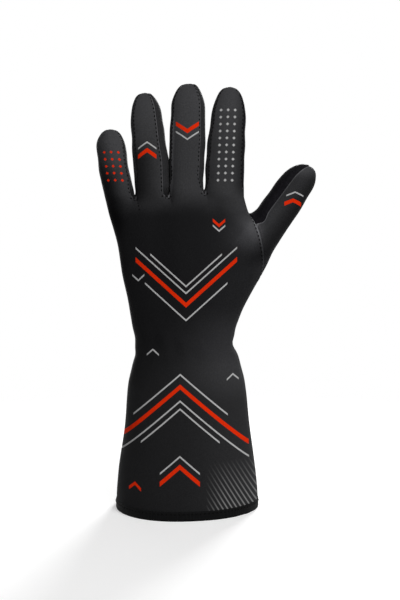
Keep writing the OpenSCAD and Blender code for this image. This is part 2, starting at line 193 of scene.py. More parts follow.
def buildView():
    eye = placed("viewCamera", bpy.data.cameras.new("viewCamera"))
    eye.location = Vector(viewSet["eye"]) * mm
    eye.rotation_euler = (math.pi / 2, 0, 0)
    eye.data.sensor_width = viewSet["sensor"]
    eye.data.lens = viewSet["sensor"] * -viewSet["eye"][1] / viewSet["frameHeight"]
    eye.data.clip_start, eye.data.clip_end = viewSet["clip"]
    bpy.context.scene.camera = eye
    for name, (place, aim, size, watts) in lampSet.items():
        lamp = placed(name, bpy.data.lights.new(name, "AREA"))
        lamp.data.energy, lamp.data.size = watts, size * mm
        lamp.location = Vector(place) * mm
        lamp.rotation_mode = "QUATERNION"
        lamp.rotation_quaternion = (Vector(aim) - Vector(place)).to_track_quat("-Z", "Y")

    sky = Finish("studio", bpy.data.worlds.new("studio"))
    level = seenDirectly(sky) * (1 - viewSet["skyLight"]) + viewSet["skyLight"]
    white = sky.node("ShaderNodeBackground", None, {"Color": (1, 1, 1, 1), "Strength": level})[0]
    sky.node("ShaderNodeOutputWorld", None, {"Surface": white})
    bpy.context.scene.world = sky.material

    around = np.linspace(0, 2 * np.pi, viewSet["floorSides"] + 1)[:-1]
    rim = np.stack([np.cos(around), np.sin(around), around * 0], 1) * viewSet["floorRadius"] * mm
    sheet = bpy.data.meshes.new("floor")
    sheet.from_pydata(rim.tolist(), [], [list(range(len(rim)))])
    floor = placed("floor", sheet)
    pale = Finish("paleFloor")
    glow = pale.node("ShaderNodeEmission", None, {"Strength": seenDirectly(pale) * viewSet["floorGlow"]})[0]
    matt = pale.node("ShaderNodeBsdfDiffuse", None, {"Color": opaque(viewSet["floorColour"])})[0]
    both = pale.node("ShaderNodeAddShader", None, {0: glow, 1: matt})[0]
    place = pale.node("ShaderNodeTexCoord")["Object"]
    far = pale.node("ShaderNodeVectorMath", {"operation": "LENGTH"}, {0: place})["Value"]
    clear = pale.node("ShaderNodeBsdfTransparent")[0]
    near, out = (d * mm for d in viewSet["floorFade"])
    faded = pale.node("ShaderNodeMixShader", None, {0: far.between(near, out), 1: both, 2: clear})[0]
    pale.node("ShaderNodeOutputMaterial", None, {"Surface": faded})
    sheet.materials.append(pale.material)
    bpy.context.scene.view_settings.view_transform = "Standard"


buildView()
print("glove: camera, lamps and floor set")


# the cloth of the back: charcoal knit with a printed design of bands, chevrons and small marks
printSet = {
    "orange": (0.66, 0.024, 0.002),
    "grey": (0.42, 0.42, 0.42),
    # painted shade and light in the ground: darkest on the hand, lighter to the fingertips, the hem and the
    # thumb side
    "handCloth": (0.0079, 0.0079, 0.0085),
    "fingerCloth": (0.036, 0.036, 0.038),
    "cuffCloth": (0.0128, 0.0128, 0.0135),
    "rootZ": 231,
    "fingerFrom": (213, 239),
    "cuffFrom": (128, 84),
    "thumbFrom": (46, 62, 0.5),  # painted light on the thumb: from and to where it lightens, and how far toward the finger cloth
    "slope": (26, 0.9),  # from where, and how much lower, the painted shade lies toward the thumb
    "paintedSeamHighlight": (0.35, 0.9, 1.3),  # painted highlight on the turned edge of the cloth at a seam: from and to, and how much lighter
    "thumbSidePaintedLight": (-10, 52, 1.7),  # painted light toward the thumb side: from and to where the ground lightens, and by how much
    "wander": 8,  # how far the edge of the painted shade on the fingers wanders
    "speckle": (0.35, 0.8, 0.9, 0.5),  # from and to, the darkest, and how much lighter
    "printEdge": (-6, 2),  # the print stays on the back and its edges
    "faded": (0.86, 0.28),  # the least share of the print that is left, and how much more
    "pitch": 1.25, "gloss": 0.012, "sheen": 0.004, "bump": (0.35, 0.35),
    # painted light and shade of the ground: a line by its x at the finger roots and its lean, distances
    # beside it between which the painted shade grows and (if given) stops, heights between which it grows,
    # and how dark or light it makes the ground
    "paintedShades": [
        ((-49.6, -0.148), (2, -12), None, [(274, 246), (84, 110)], 0.42),
        ((-49.6, -0.148), (6.5, -6), None, [(258, 238), (196, 212)], 0.3),
        ((-49.6, -0.148), (-7, 0), (15, 12), [(246, 262)], 1.35),
        ((-25.5, -0.07), (12, -8), (-15.5, -14), [(276, 256), (220, 236)], 0.32),
        ((-11.9, 0.03), (2.4, 0), (-4, -3), [(226, 236), (292, 282)], 2.3),
        ((28.2, 0.05), (2, 14), (22, 18), [(226, 240)], 0.38),
        ((0, 0), (20, 44), (60, 46), [(184, 200), (220, 204)], 2.3),
        ((57, 0.74), (17, 34), None, [(174, 188)], 0.36),
        ((57, 0.74), (8, 10), None, [(242, 251)], 1.9),
        ((57, 0.74), (25, 16), (2, 7), [(230, 216), (188, 200)], 1.25),
        ((0, 0), (-26, 30), None, [(76, 108), (152, 122)], 2.1),
        ((0, 0), (-200, -190), None, [(262, 300)], 1.3),
    ],
    # chevrons: colour, middle x, middle z, rise per millimetre outward, reach, half width
    "chevrons": [
        ("orange", 0, 150, 0.9, 37, 1.3), ("grey", 0, 158.5, 0.9, 37, 0.5), ("grey", 0, 163.5, 0.9, 26, 0.5),
        ("grey", 0, 139, 0.9, 30, 0.5),
        ("orange", -4, 92, -0.85, 50, 1.3), ("grey", -4, 100.5, -0.85, 34, 0.5),
        ("grey", -4, 82, -0.85, 50, 0.5), ("grey", -4, 76.5, -0.85, 28, 0.5),
        ("grey", -4, 44, -0.85, 14, 0.5), ("orange", -4, 37, -0.85, 14, 1.3),
        ("orange", 0.8, 278, 0.7, 8.5, 1.3), ("grey", 0.8, 272, 0.7, 8.5, 0.5),
        ("orange", -28.8, 264, -0.7, 6.8, 1.3), ("grey", -28.8, 270, -0.7, 6.8, 0.5),
        ("grey", 80, 233, -0.4, 6.5, 0.5), ("orange", 78.5, 227, -0.4, 6.5, 1.3),
        ("grey", -35, 168, 0.9, 4.5, 0.5), ("orange", 24, 208, 0.9, 4.5, 0.9),
        ("grey", 24, 204, 0.9, 4.5, 0.5), ("grey", -24, 118, -0.85, 4.5, 0.5),
        ("grey", 34, 100, -0.85, 4.5, 0.5), ("orange", -36, 24, -0.85, 4.5, 0.9),
    ],
    # lattices of small diamonds: colour, middle x, lean of the middle, half width, low and high z, size
    "lattices": [
        ("grey", 28.4, 0.045, 8.5, 239.2, 296.4, 1.15),
        ("orange", -51.8, -0.15, 6.5, 239.2, 265.2, 1.15),
    ],
    "latticeStep": 5.2,
    # slanted stripes by the hem: left, right, low, high, step, slant, half width and strength
    "stripes": (14, 54, 6, 40, 3.2, 0.6, 0.5, 0.45),
}
weaveSet = {"courseLean": 0.5, "courseStep": 0.8, "loops": 0.22, "wales": 0.12, "fuzz": 0.9}


def weaveHeight(finish, vector, u, v, pitch):
    s = weaveSet
    wale = (u * (2 * math.pi / pitch)).sine()
    course = ((v + u * s["courseLean"]) * (2 * math.pi / (pitch * s["courseStep"]))).sine()
    fuzz = finish.grain(vector, 0.9, 3.0, 0.6)
    return wale * course * s["loops"] + wale * s["wales"] + fuzz * s["fuzz"]


def printMarks(x, z):  # masks of the printed design, by colour
    s = printSet
    marks = {}

    def put(colour, mask):
        marks[colour] = marks[colour].most(mask) if colour in marks else mask

    for colour, atX, atZ, rise, reach, half in s["chevrons"]:
        out = abs(x - atX)
        put(colour, (z - out * rise).band(atZ, half * math.hypot(1, rise)) * out.band(0, reach, 0.4))
    step = s["latticeStep"]
    for colour, atX, lean, half, low, high, size in s["lattices"]:
        aside = x - atX - (z - low) * lean
        cellX = abs((aside / step + 0.5).fraction() - 0.5) * step
        cellZ = abs((z / step).fraction() - 0.5) * step
        inside = aside.band(0, half) * z.band((low + high) / 2, (high - low) / 2)
        put(colour, (cellX + cellZ).band(0, size) * inside)
    left, right, low, high, step, slant, half, strength = s["stripes"]
    fade = (1 - (z - low) / (high - low)).held() * ((x - left) / (right - left) * 3).held()
    stripe = (abs(((x + z * slant) / step).fraction() - 0.5) * step).band(0, half) * fade
    put("grey", stripe * x.band((left + right) / 2, (right - left) / 2) * strength)
    return marks


def printedCloth():
    s = printSet
    cloth = Finish("printedCloth")
    place, x, y, z = cloth.axes("rest")
    flat, u, v, gap = cloth.axes("weave")
    mottle = cloth.grain(place, 0.06, 3.0)
    speck = cloth.grain(flat, 1.6, 2.0)

    # the ground, with its painted light and shade
    start, slope = s["slope"]
    lowered = z + (x - start).most(0.0) * slope + (mottle - 0.5) * s["wander"]
    toFinger = lowered.between(*s["fingerFrom"])
    near, far, share = s["thumbFrom"]
    toFinger = toFinger + (share - toFinger) * x.between(near, far)
    base = cloth.mix(z.between(*s["cuffFrom"]), opaque(s["handCloth"]), opaque(s["cuffCloth"]))
    # painted light toward the thumb side
    near, far, most = s["thumbSidePaintedLight"]
    base = cloth.scaled(base, 1 + x.between(near, far) * (most - 1))
    base = cloth.mix(toFinger, base, opaque(s["fingerCloth"]))
    # painted shade and painted light, band by band
    for (atX, lean), grows, stops, rises, amount in s["paintedShades"]:
        aside = x - atX - (z - s["rootZ"]) * lean
        paintedShade = aside.between(*grows)
        for rise in rises:
            paintedShade = paintedShade * z.between(*rise)
        if stops:
            paintedShade = paintedShade * aside.between(*stops)
        base = cloth.scaled(base, 1 + paintedShade * (amount - 1))
    # painted highlight along the seams
    near, far, more = s["paintedSeamHighlight"]
    seamHighlight = 1 + (1 - gap.between(near, far)) * more
    low, high, darkest, lighter = s["speckle"]
    base = cloth.scaled(base, (darkest + speck.between(low, high) * lighter) * seamHighlight)

    # the print
    least, more = s["faded"]
    kept = (0 - y).between(*s["printEdge"]) * (least + mottle * more).held()
    marks = printMarks(x, z)
    for colour in ("grey", "orange"):
        base = cloth.mix(marks[colour] * kept, base, opaque(s[colour]))
    height = weaveHeight(cloth, flat, u, v, s["pitch"])
    return cloth.surface(base, 0.5 + speck * 0.25, s["gloss"], s["sheen"], cloth.bump(height, *s["bump"]))


plainSet = {  # colour and pitch of the weave
    # the fourchettes are darker than the finger cloth beside them: painted shade between the fingers
    "fourchetteCloth": ((0.018, 0.018, 0.019), 1.1),
    "cuffUnderCloth": ((0.0125, 0.0125, 0.0132), 1.25),
    "brushedLining": ((0.10, 0.10, 0.105), 1.8),
    "wristElastic": ((0.05, 0.05, 0.052), 2.2),
}
plainLook = {
    "lighter": 2.1, "gloss": 0.04, "sheen": 0.01, "bump": (0.45, 0.4),
    "crotch": (230, 240, 0.3),  # from and to, and the painted shade on the fourchettes down in the crotches
}


def plainCloth(name):
    s = plainLook
    colour, pitch = plainSet[name]
    cloth = Finish(name)
    flat, u, v, _ = cloth.axes("weave")
    speck = cloth.grain(flat, 1.4, 3.0)
    lighter = tuple(c * s["lighter"] for c in colour)
    base = cloth.mix(speck.between(0.3, 0.85) * 0.6, opaque(colour), opaque(lighter))
    # painted shade down in the crotches
    if name == "fourchetteCloth":
        low, high, dark = s["crotch"]
        base = cloth.scaled(base, dark + cloth.axes("rest")[3].between(low, high) * (1 - dark))
    height = weaveHeight(cloth, flat, u, v, pitch)
    return cloth.surface(base, 0.6 + speck * 0.25, s["gloss"], s["sheen"], cloth.bump(height, *s["bump"]))


leatherSet = {
    "dark": (0.0040, 0.0038, 0.0046), "nap": (0.0100, 0.0095, 0.0114), "pebble": 0.55,
    "paintedRelief": (-1.3, 0.8, 0.35, 1.6),  # from and to in the form, and the painted shade in the creases and painted light on the pads
    "gloss": 0.012, "sheen": 0.01, "sheenRough": 0.4, "bump": (0.3, 0.5),
}


def palmLeather():
    s = leatherSet
    hide = Finish("palmLeather")
    flat, _, _, form = hide.axes("weave")
    pebbles = hide.node("ShaderNodeTexVoronoi", {"feature": "SMOOTH_F1"}, {
        "Vector": flat, "Scale": s["pebble"], "Smoothness": 0.6})["Distance"]
    nap = hide.grain(flat, 0.35, 4.0, 0.65)
    fine = hide.grain(flat, 2.2, 2.0)
    raised = (nap.between(0.3, 0.75) * 0.7 + fine * 0.3).held()
    base = hide.mix(raised, opaque(s["dark"]), opaque(s["nap"]))
    # painted shade in the creases, painted light on the pads
    low, high, crease, pad = s["paintedRelief"]
    paintedRelief = form.between(low, high)
    base = hide.scaled(base, crease + paintedRelief * (pad - crease))
    height = pebbles * -0.6 + fine * 0.35 + nap * 0.4
    rough = 0.5 + nap * 0.3 - paintedRelief * 0.1
    normal = hide.bump(height, *s["bump"])
    return hide.surface(base, rough, s["gloss"], s["sheen"], normal, s["sheenRough"])


tapeSet = {"dark": (0.0022, 0.0022, 0.0024), "rib": (0.0056, 0.0056, 0.006), "pitch": 1.15,
           "gloss": 0.04, "sheen": 0.006, "bump": (0.5, 0.35)}


def bindingTape():
    s = tapeSet
    tape = Finish("bindingTape")
    flat, u, _, _ = tape.axes("weave")
    ribs = (u * (2 * math.pi / s["pitch"])).sine() * 0.5 + 0.5
    fuzz = tape.grain(flat, 1.7, 2.0)
    base = tape.mix((ribs * 0.5 + fuzz * 0.6 - 0.1).held(), opaque(s["dark"]), opaque(s["rib"]))
    normal = tape.bump(ribs * 0.6 + fuzz * 0.5, *s["bump"])
    return tape.surface(base, 0.5 + fuzz * 0.25, s["gloss"], s["sheen"], normal)


threadSet = {"dark": (0.0008, 0.0008, 0.0008), "light": (0.0028, 0.0028, 0.003),
             "lay": 0.6, "lean": 1.5, "gloss": 0.03, "bump": (0.4, 0.15)}


def seamThread():
    s = threadSet
    thread = Finish("seamThread")
    _, u, v, _ = thread.axes("weave")
    twist = ((u + v * s["lean"]) * (2 * math.pi / s["lay"])).sine() * 0.5 + 0.5
    base = thread.mix(twist, opaque(s["dark"]), opaque(s["light"]))
    return thread.surface(base, 0.5 + twist * 0.1, s["gloss"], 0.0, thread.bump(twist, *s["bump"]))


finishes = {
    "printedHand": printedCloth(), "palmLeather": palmLeather(), "bindingTape": bindingTape(),
    "seamThread": seamThread(), **{name: plainCloth(name) for name in plainSet},
}
finishes["printedFinger"] = finishes["printedHand"]  # one cloth, under two names for the pieces cut from it
print("glove: finishes made,", len(finishes))


# outlines of the shell: heights with the value there, run through by smooth curves
handSet = {
    "left": [
        (0, -51.9), (6.5, -52.1), (24, -51.1), (48, -48.3), (78, -44.7), (96, -42.1), (108, -39.4),
        (114, -37.7), (119, -37.7), (132, -39.9), (150, -43.2), (174, -47.9), (186, -49.4), (195, -50.7),
        (207, -53.8), (219, -57.7), (231, -61.0),
    ],
    "right": [
        (0, 53.0), (6.5, 53.0), (12, 52.8), (36, 50.4), (60, 47.6), (84, 44.3), (99, 41.6), (108, 39.4),
        (114, 37.2), (120, 34.7), (123, 34.4), (127, 35.2), (138, 38.4), (150, 43.2), (160, 49.0),
        (168, 54.3),
    ],
    "crotchX": 45.4, "crotchZ": 218.6, "knuckleX": 42.7,
    "backDepth": [
        (0, 41.0), (6.5, 40.6), (76, 31.0), (102, 26.4), (120, 23.2), (150, 20.6), (185, 18.8), (205, 16.6),
        (219, 13.6), (231, 11.6),
    ],
    "palmDepth": [
        (0, 38.4), (6.5, 38.4), (76, 31.0), (102, 27.2), (120, 24.2), (150, 22.0), (185, 19.4), (205, 16.8),
        (219, 13.6), (231, 11.6),
    ],
    "round": [(0, 2.05), (100, 2.2), (231, 2.4)],
    "crease": [(0, 2.0), (60, 1.85), (112, 2.1), (231, 2.4)],  # how pointed the thumb side of a section is
    "peak": [(0, -0.14), (90, -0.06), (120, 0.0), (231, 0.0)],  # where a section is deepest
    "partingHeight": 10,
    "hemZ": 1.0, "thumbLowZ": 168, "thumbLowX": 54.3, "rootDepth": 15,
    "seamBulge": 5.2, "bulgeFrom": 0.55,  # how far, and from which share of the width, the opening stands out
    "cloth": 1.3, "palmSeamZ": 134,
}
# each finger: root, length, tip, widths and sideways places along it, and angles of its back seams
# and its bends: rise where the knuckle's ends, rise of the cut, middle and half length of the upper one
fingerSet = {
    "index": {
        "rootX": 28.2, "length": 81.8, "dome": 21, "flat": 0.09,
        "widths": [(0, 29.0), (0.37, 28.9), (0.5, 28.3), (0.7, 26.2), (1, 24.2)],
        "middles": [(0, 0), (0.25, 0.5), (0.5, 1.6), (0.75, 3.3), (1, 4.1)],
        "seams": (33, 147), "rootSeams": (9, 160), "outer": "right",
        "knuckle": 21, "cut": 24, "bend": (38.2, 12)},
    "middle": {
        "rootX": 0.0, "length": 84.4, "dome": 18, "flat": 0.18,
        "widths": [(0, 25.6), (0.25, 26.0), (0.36, 26.8), (1, 24.0)],
        "middles": [(0, 0), (0.25, 0.0), (0.36, 0.3), (1, 1.6)],
        "seams": (45, 149), "rootSeams": (30, 168), "outer": "",
        "knuckle": 21, "cut": 24, "bend": (39.3, 12)},
    "ring": {
        "rootX": -25.5, "length": 77.5, "dome": 20, "flat": 0.13,
        "widths": [(0, 25.2), (0.18, 26.7), (0.335, 27.4), (0.45, 26.2), (0.6, 25.0), (1, 22.8)],
        "middles": [(0, 0), (0.18, -0.25), (0.335, -1.05), (0.45, -2.1), (0.7, -4.0), (1, -5.4)],
        "seams": (54, 142), "rootSeams": (52, 155), "outer": "",
        "knuckle": 20, "cut": 24, "bend": (35.7, 12)},
    "little": {
        "rootX": -49.6, "length": 50.4, "dome": 13, "flat": 0.07,
        "widths": [(0, 22.8), (0.4, 22.2), (1, 20.8)],
        "middles": [(0, 0), (0.3, -3.6), (0.6, -6.0), (1, -7.4)],
        "seams": (30, 150), "rootSeams": (44, 150), "outer": "left",
        "knuckle": 11, "cut": 13, "bend": (23.9, 9)},
}
fingerShape = {
    "rootDepth": 23.2, "tipDepth": 18.4, "round": 2.3, "rowStep": 2.1, "domeRows": 12,
    "seamRun": 16,  # rise within which the seams come from the root to their places
    "rootZ": 231,
}
thumbSet = {
    "root": (47.4, 0, 218), "lean": 36.5, "rise": 8, "length": 47.5, "width": 28.4, "taper": 5.6,
    "rootDepth": 25, "tipDepth": 20.4, "dome": 17, "flat": 0.16, "tipShift": 1.6,
    # how far both edges are moved, -1 to 0 on the fan of the thumb and 0 to 1 above it
    "outerEdge": [
        (-1, 0.3), (-0.7, -0.3), (-0.5, -1.2), (-0.2, -0.1), (0, 0.85), (0.2, 0.7), (0.42, 0.4), (1, 0)],
    "innerEdge": [(-1, 0), (-0.5, 1.2), (0, 1.65), (0.14, 1.25), (0.3, 1.0), (0.5, 0.2), (0.7, 0), (1, 0)],
    "seam": 131, "seamTurn": 33, "turnHaste": 1.35,  # the seam lies further round on the thumb itself
    "fanRows": 16, "tubeRows": 15, "domeRows": 11, "bend": 8, "cut": 2,
}
meshSet = {"backCells": 16, "sideCells": 7, "sideCrowd": 1.6, "backCrowd": 0.7, "webCells": 4,
           "rowStep": 2.4, "loopRows": 22, "crotchRows": 6}
order = ["index", "middle", "ring", "little"]
digits = order + ["thumb"]
handFaces = ("handBack", "handPalm")


def ease(f):
    f = np.clip(f, 0, 1)
    return f * f * (3 - 2 * f)


def unit(vectors):
    return vectors / np.maximum(np.linalg.norm(vectors, axis=-1, keepdims=True), 1e-12)


def runAlong(p, axis=0):  # distance from the start, along a line or along the lines of a grid
    steps = np.linalg.norm(np.diff(p, axis=axis), axis=-1)
    return np.insert(np.cumsum(steps, axis=axis), 0, 0, axis=axis)


def bent(v, power):
    return np.sign(v) * np.abs(v) ** (2 / power)


def curveAt(stations, at):
    p = np.array(stations, float)
    slope = np.gradient(p[:, 1], p[:, 0])
    at = np.clip(np.asarray(at, float), p[0, 0], p[-1, 0])
    i = np.clip(np.searchsorted(p[:, 0], at) - 1, 0, len(p) - 2)
    run = p[i + 1, 0] - p[i, 0]
    f = (at - p[i, 0]) / run
    g = 1 - f
    return (p[i, 1] * g * g * (1 + 2 * f) + p[i + 1, 1] * f * f * (1 + 2 * g)
            + slope[i] * run * f * g * g - slope[i + 1] * run * g * f * f)


def crowded(a, b, n):  # steps from a to b that are closer near both ends
    k = np.linspace(0, 1, n + 1)
    return a + (b - a) * (k - meshSet["backCrowd"] * np.sin(2 * np.pi * k) / (2 * np.pi))


def ringAngles(right, left):
    side = meshSet["sideCells"]
    near = 1 - (1 - np.arange(side + 1) / side) ** meshSet["sideCrowd"]  # closer toward the seam
    across = crowded(right, left, meshSet["backCells"])
    top = np.concatenate([right * near[:-1], across[:-1], 180 - (180 - left) * near[::-1]])
    return np.radians(np.concatenate([top, 360 - top[-2:0:-1]]))


def fingerAngles(f, rises):
    root, place = np.array(f["rootSeams"], float), np.array(f["seams"], float)
    shares = ease(rises / fingerShape["seamRun"])
    return np.array([ringAngles(*(root + (place - root) * share)) for share in shares])


def roundSection(angles, power):
    c, n = bent(np.cos(angles), power), bent(np.sin(angles), power)
    n[np.abs(np.sin(angles)) < 1e-9] = 0
    return c, n


def domed(f, rises, width, depths):
    # half width and half depth along a finger or the thumb, and how far up its dome
    q = np.clip((rises - f["length"] + f["dome"]) / f["dome"], 0, 1)
    dome = np.sqrt(1 - q * q)
    half = width / 2 * (f["flat"] + (1 - f["flat"]) * dome)
    root, tip = depths["rootDepth"], depths["tipDepth"]
    deep = (root + (tip - root) * (rises / f["length"])) / 2 * dome
    return half[:, None], deep[:, None], q[:, None]


def domeRises(f, rows):
    return f["length"] - f["dome"] * (1 - np.sin(np.pi / 2 * np.arange(1, rows + 1) / rows))


def fingerGrid(f, rises, angles):
    share = rises / f["length"]
    half, deep, _ = domed(f, rises, curveAt(f["widths"], share), fingerShape)
    c, n = roundSection(angles, fingerShape["round"])
    x = (f["rootX"] + curveAt(f["middles"], share))[:, None] + half * c
    z = np.broadcast_to(fingerShape["rootZ"] + rises[:, None], x.shape)
    return np.stack([x, -deep * n, z], 2)


def fingerRises(name):  # heights of the rows of a finger, and the row where it is cut at its bend
    f, step = fingerSet[name], fingerShape["rowStep"]
    cut, straight = f["cut"], f["length"] - f["dome"]
    low = np.linspace(0, cut, max(2, round(cut / step)) + 1)
    high = np.linspace(cut, straight, max(1, round((straight - cut) / step)) + 1)
    return np.concatenate([low, high[1:], domeRises(f, fingerShape["domeRows"])]), len(low) - 1


def openingAngle(z):
    low, top = handSet["thumbLowZ"], handSet["crotchZ"]
    return np.arccos(np.clip(((low + top) / 2 - z) / ((top - low) / 2), -1, 1))


def rightEdge(z):
    h, z = handSet, np.asarray(z, float)
    stations = [h["thumbLowZ"], h["crotchZ"], fingerShape["rootZ"]]
    upper = np.interp(z, stations, [h["thumbLowX"], h["crotchX"], h["knuckleX"]])
    return np.where(z < h["thumbLowZ"], curveAt(h["right"], z), upper)


def handGrid(heights, roots, sideSign, inset=0.0):
    # columns run from the thumb side to the little finger, up to their points on the finger roots
    h = handSet
    z = np.asarray(heights, float)[:, None]
    left, right = curveAt(h["left"], z), rightEdge(z)
    rootLeft, rootRight = h["left"][-1][1], h["knuckleX"]
    s = (roots[:, 0] - (rootLeft + rootRight) / 2) / ((rootRight - rootLeft) / 2)
    s = np.clip(s, -1, 1)[None, :]
    deep = curveAt(h["backDepth"] if sideSign < 0 else h["palmDepth"], z) - inset
    power, point, peak = curveAt(h["round"], z), curveAt(h["crease"], z), curveAt(h["peak"], z)
    fold = np.where(s > peak, point, power)
    u = np.where(s > peak, (s - peak) / (1 - peak), (peak - s) / (1 + peak))
    wide = np.sin(openingAngle(z)) * ((z > h["thumbLowZ"]) & (z < h["crotchZ"]))
    gape = np.where(s > 0, (np.maximum(h["rootDepth"] * wide - inset, 0) / deep) ** fold, 0)
    y = sideSign * deep * np.maximum(1 - (1 - gape) * u ** power, 0) ** (1 / fold)
    x = (left + right) / 2 + ((right - left) / 2 - inset) * s
    bulge = np.clip((s - h["bulgeFrom"]) / (1 - h["bulgeFrom"]), 0, 1) ** 2
    x = x + h["seamBulge"] * wide ** 1.5 * bulge
    parting = ease((z - fingerShape["rootZ"] + h["partingHeight"]) / h["partingHeight"])
    x = np.where(z < fingerShape["rootZ"], x, roots[None, :, 0])
    y = y + (roots[None, :, 1] - y) * parting
    return np.stack([x, y, np.broadcast_to(z, x.shape)], 2)


def thumbFrame():
    lean = math.radians(thumbSet["lean"])
    up = np.array([math.sin(lean), 0, math.cos(lean)])
    out = np.array([math.cos(lean), 0, -math.sin(lean)])
    start = np.array(thumbSet["root"]) + up * thumbSet["rise"] + out * thumbSet["width"] / 2
    return up, out, start


def thumbEdges(along, angles):
    outer, inner = (curveAt(thumbSet[edge], along) for edge in ("outerEdge", "innerEdge"))
    return outer * np.maximum(np.cos(angles), 0) + inner * np.maximum(-np.cos(angles), 0)


def thumbFan(shares, angles):
    # from the opening of the hand to the root of the thumb itself
    t, h = thumbSet, handSet
    _, out, start = thumbFrame()
    share = shares[:, None]
    v = share[:, :, None]
    foot = np.array([h["thumbLowX"], 0, h["thumbLowZ"]])
    crotch = np.array([h["crotchX"], 0, h["crotchZ"]])
    low = foot + (start + out * t["width"] / 2 - foot) * v
    high = crotch + (start - out * t["width"] / 2 - crotch) * v
    c, n = roundSection(angles, 2 + (fingerShape["round"] - 2) * share)
    deep = h["rootDepth"] + (t["rootDepth"] / 2 - h["rootDepth"]) * share
    p = (low + high) / 2 + (low - high) / 2 * c[:, :, None]
    p[:, :, 1] -= deep * n
    p[:, :, 0] += h["seamBulge"] * np.abs(np.sin(angles)) ** 1.5 * (1 - ease(share))
    return p + out * thumbEdges(share - 1, angles)[:, :, None]


def thumbTube(rises, angles):
    t = thumbSet
    up, out, start = thumbFrame()
    share = rises / t["length"]
    half, deep, q = domed(t, rises, t["width"] - t["taper"] * share, t)
    c, n = roundSection(angles, fingerShape["round"])
    aside = half * c + t["tipShift"] * q ** 2 + thumbEdges(share[:, None], angles)
    p = start + up * rises[:, None, None] + out * aside[:, :, None]
    p[:, :, 1] -= deep * n
    return p


# the patches of the shell: grids of points that meet along shared points
webs = meshSet["webCells"]
rightCol = meshSet["sideCells"]
leftCol = rightCol + meshSet["backCells"]
halfCol = leftCol + meshSet["sideCells"]
around = 2 * halfCol
patches = {}
cutRow = {}
for name in order:
    rises, cutRow[name] = fingerRises(name)
    patches[name] = fingerGrid(fingerSet[name], rises, fingerAngles(fingerSet[name], rises))

rootParts = []
gapCols = []
count = 0
for k, name in enumerate(order):
    ring = patches[name][0]
    first = 0 if k == 0 else rightCol
    last = halfCol if k == 3 else leftCol
    rootParts.append(ring[first:last + 1])
    count += last + 1 - first
    if k < 3:
        a, b = ring[leftCol], patches[order[k + 1]][0][rightCol]
        rootParts.append(a + (b - a) * (np.arange(1, webs) / webs)[:, None])
        gapCols.append((count - 1, count - 1 + webs))
        count += webs - 1
backRoots = np.concatenate(rootParts)
palmRoots = backRoots * np.array([1, -1, 1])

thumbLow, crotch = handSet["thumbLowZ"], handSet["crotchZ"]
loopAngles = np.pi * np.arange(meshSet["loopRows"] + 1) / meshSet["loopRows"]
loopZ = (thumbLow + crotch) / 2 - (crotch - thumbLow) / 2 * np.cos(loopAngles)
lowRows = round(thumbLow / meshSet["rowStep"])
heights = np.concatenate([
    np.linspace(handSet["hemZ"], thumbLow, lowRows + 1)[:-1], loopZ,
    np.linspace(crotch, fingerShape["rootZ"], meshSet["crotchRows"] + 1)[1:]])
loopFirst, loopLast = lowRows, lowRows + meshSet["loopRows"]
patches["handBack"] = handGrid(heights, backRoots, -1)
patches["handPalm"] = handGrid(heights, palmRoots, 1)
for k in range(3):
    a = patches[order[k]][0]
    b = patches[order[k + 1]][0]
    aSide = a[np.arange(leftCol, around - leftCol + 1)]
    bSide = b[np.arange(rightCol, -rightCol - 1, -1) % around]
    share = (np.arange(webs + 1) / webs)[None, :, None]
    patches["web%d" % k] = aSide[:, None] + (bSide - aSide)[:, None] * share

thumbAngles = np.concatenate([loopAngles, 2 * np.pi - loopAngles[-2:0:-1]])
turn = math.radians(thumbSet["seamTurn"]) * np.maximum(np.sin(thumbAngles), 0)
tubeRises = np.concatenate([
    np.linspace(0, thumbSet["length"] - thumbSet["dome"], thumbSet["tubeRows"] + 1)[1:],
    domeRises(thumbSet, thumbSet["domeRows"])])
fanShares = np.arange(thumbSet["fanRows"] + 1) / thumbSet["fanRows"]
fan = thumbFan(fanShares, thumbAngles - turn * ease(fanShares * thumbSet["turnHaste"])[:, None])
fan[0, :len(loopAngles)] = patches["handBack"][loopFirst:loopLast + 1, 0]
fan[0, len(loopAngles):] = patches["handPalm"][loopFirst:loopLast + 1, 0][-2:0:-1]
patches["thumb"] = np.concatenate([fan, thumbTube(tubeRises, thumbAngles - turn)])
thumbAround = len(thumbAngles)
thumbSeamCol = int(round(thumbSet["seam"] / 180 * meshSet["loopRows"]))
cutRow["thumb"] = thumbSet["fanRows"] + thumbSet["cut"]

# one welded set of points for the whole shell
welded, spots, grids = {}, [], {}
for name, grid in patches.items():
    ids = np.empty(grid.shape[:2], int)
    for i, j in np.ndindex(ids.shape):
        p = grid[i, j]
        key = tuple(np.round(p, 3) + 0.0)
        if key not in welded:
            welded[key] = len(spots)
            spots.append(p)
        ids[i, j] = welded[key]
    grids[name] = ids
points = np.array(spots)
closed = set(digits)


def quadsOf(name, rows=None, cols=None, skip=None):
    # faces between the given lines of a patch, or all of them
    ids = grids[name]
    n = ids.shape[1]
    rows = range(len(ids)) if rows is None else rows
    cols = range(n + (name in closed)) if cols is None else cols
    found = []
    for i, k in zip(rows[:-1], rows[1:]):
        for j, m in zip(cols[:-1], cols[1:]):
            if skip and skip(i, j):
                continue
            a, b, c, d = ids[i, j % n], ids[i, m % n], ids[k, m % n], ids[k, j % n]
            found.append((a, b, c, d) if name == "handPalm" else (a, d, c, b))  # outward
    return np.array(found)


allQuads = np.concatenate([quadsOf(name) for name in patches])


def pointNormals(at):
    p = at[allQuads]
    across = np.cross(p[:, 2] - p[:, 0], p[:, 3] - p[:, 1])
    total = np.zeros_like(at)
    for k in range(4):
        np.add.at(total, allQuads[:, k], across)
    return unit(total)


